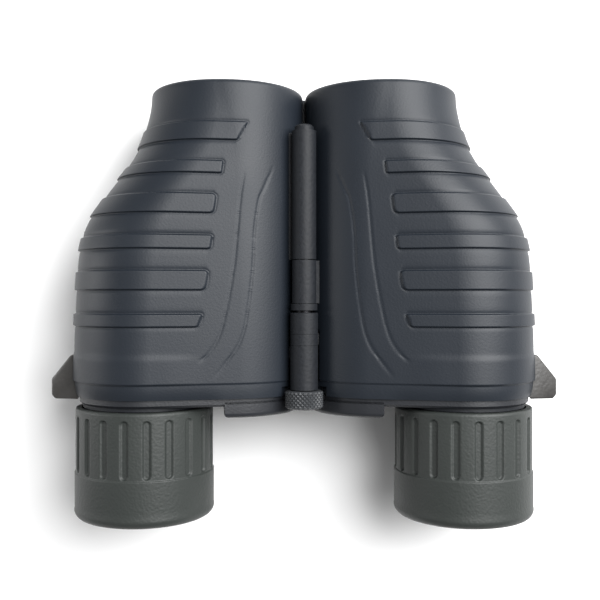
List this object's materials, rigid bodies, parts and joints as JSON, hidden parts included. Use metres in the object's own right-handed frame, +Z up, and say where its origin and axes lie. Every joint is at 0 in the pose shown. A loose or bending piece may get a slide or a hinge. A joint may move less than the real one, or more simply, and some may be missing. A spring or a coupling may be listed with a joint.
{
  "type": "binoculars",
  "caption": "Compact reverse-Porro binoculars with rubber-armoured barrels, a centre focus knob, a folding hinge, twist-up eyecups and strap lugs.",
  "frame": {"origin": "under the middle of the whole object, on the surface it lies on", "axes": "+X from the left barrel to the right barrel, +Y towards the objectives, +Z up through the hinge side"},
  "size_m": [0.1116, 0.0953, 0.0358],
  "materials": {
    "housing_plastic": "fine moulded texture, satin",
    "armour_rubber": "fine matt grain with soft sheen",
    "cup_rubber": "matt olive-grey, moulded",
    "seal_rubber": "smooth black",
    "hinge_plastic": "cast texture, matt",
    "lug_plastic": "glass-filled, satin",
    "black_metal": "black anodised",
    "bare_metal": "turned",
    "screw_steel": "blackened",
    "knob_metal": "diamond knurl, satin",
    "coated_glass": "blue-violet anti-reflection coating",
    "prism_glass": "ground edges"
  },
  "bodies": {
    "left_barrel": {"left_housing": "housing_plastic", "left_armour": "armour_rubber", "left_objective_ring": "black_metal", "left_objective_lens": "coated_glass", "left_objective_seal": "seal_rubber", "left_front_prism": "prism_glass", "left_rear_prism": "prism_glass", "left_prism_plate": "bare_metal", "left_rear_cover": "housing_plastic", "left_cover_screws": "screw_steel", "left_strap_lug": "lug_plastic", "hinge_pin": "bare_metal", "hinge_front_cap": "hinge_plastic", "hinge_collar": "hinge_plastic"},
    "right_barrel": {"right_housing": "housing_plastic", "right_armour": "armour_rubber", "right_objective_ring": "black_metal", "right_objective_lens": "coated_glass", "right_objective_seal": "seal_rubber", "right_front_prism": "prism_glass", "right_rear_prism": "prism_glass", "right_prism_plate": "bare_metal", "right_rear_cover": "housing_plastic", "right_cover_screws": "screw_steel", "right_strap_lug": "lug_plastic"},
    "focus_bridge": {"bridge_tube": "hinge_plastic", "bridge_collar": "hinge_plastic", "arm_washer": "bare_metal", "left_eyepiece_carrier": "housing_plastic", "left_lens_cell": "black_metal", "left_field_lens": "coated_glass", "left_eye_lens": "coated_glass", "left_lens_retainer": "black_metal"},
    "focus_wheel": {"focus_knob": "knob_metal", "focus_screw": "bare_metal"},
    "right_carrier": {"right_eyepiece_carrier": "housing_plastic"},
    "diopter": {"right_diopter_ring": "hinge_plastic"},
    "right_lens_group": {"right_lens_cell": "black_metal", "right_field_lens": "coated_glass", "right_eye_lens": "coated_glass", "right_lens_retainer": "black_metal"},
    "left_cup_guide": {"left_cup_sleeve": "housing_plastic"},
    "left_cup": {"left_eyecup": "cup_rubber"},
    "right_cup_guide": {"right_cup_sleeve": "housing_plastic"},
    "right_cup": {"right_eyecup": "cup_rubber"}
  },
  "joints": [
    {"name": "fold", "type": "hinge", "parent": "left_barrel", "child": "right_barrel", "pos_m": [0, 0.01, 0.02651], "axis": [0, -1, 0], "range_deg": [0, 100]},
    {"name": "focus_slide", "type": "slide", "parent": "left_barrel", "child": "focus_bridge", "axis": [0, -1, 0], "range_m": [-0.0004, 0.0045]},
    {"name": "focus_turn", "type": "hinge", "parent": "focus_bridge", "child": "focus_wheel", "pos_m": [0, -0.022, 0.02651], "axis": [0, 1, 0], "range_deg": [-40, 450]},
    {"name": "right_focus_slide", "type": "slide", "parent": "right_barrel", "child": "right_carrier", "axis": [0, -1, 0], "range_m": [-0.0004, 0.0045]},
    {"name": "diopter_turn", "type": "hinge", "parent": "right_carrier", "child": "diopter", "pos_m": [0.036, -0.03, 0.0198], "axis": [0, 1, 0], "range_deg": [-45, 45]},
    {"name": "diopter_slide", "type": "slide", "parent": "right_carrier", "child": "right_lens_group", "axis": [0, -1, 0], "range_m": [-0.0006, 0.0006]},
    {"name": "left_cup_turn", "type": "hinge", "parent": "left_cup_guide", "child": "left_cup", "pos_m": [-0.036, -0.03, 0.0198], "axis": [0, 1, 0], "range_deg": [0, 150]},
    {"name": "left_cup_slide", "type": "slide", "parent": "focus_bridge", "child": "left_cup_guide", "axis": [0, -1, 0], "range_m": [0, 0.0065]},
    {"name": "right_cup_turn", "type": "hinge", "parent": "right_cup_guide", "child": "right_cup", "pos_m": [0.036, -0.03, 0.0198], "axis": [0, 1, 0], "range_deg": [0, 150]},
    {"name": "right_cup_slide", "type": "slide", "parent": "right_carrier", "child": "right_cup_guide", "axis": [0, -1, 0], "range_m": [0, 0.0065]}
  ],
  "couplings": [
    {"joint": "focus_turn", "follows": "focus_slide", "rad_per_m": 1745.2},
    {"joint": "right_focus_slide", "follows": "focus_slide", "ratio": 1},
    {"joint": "diopter_turn", "follows": "diopter_slide", "rad_per_m": 1308.9},
    {"joint": "left_cup_slide", "follows": "left_cup_turn", "m_per_rad": 0.0024826},
    {"joint": "right_cup_slide", "follows": "right_cup_turn", "m_per_rad": 0.0024826}
  ]
}
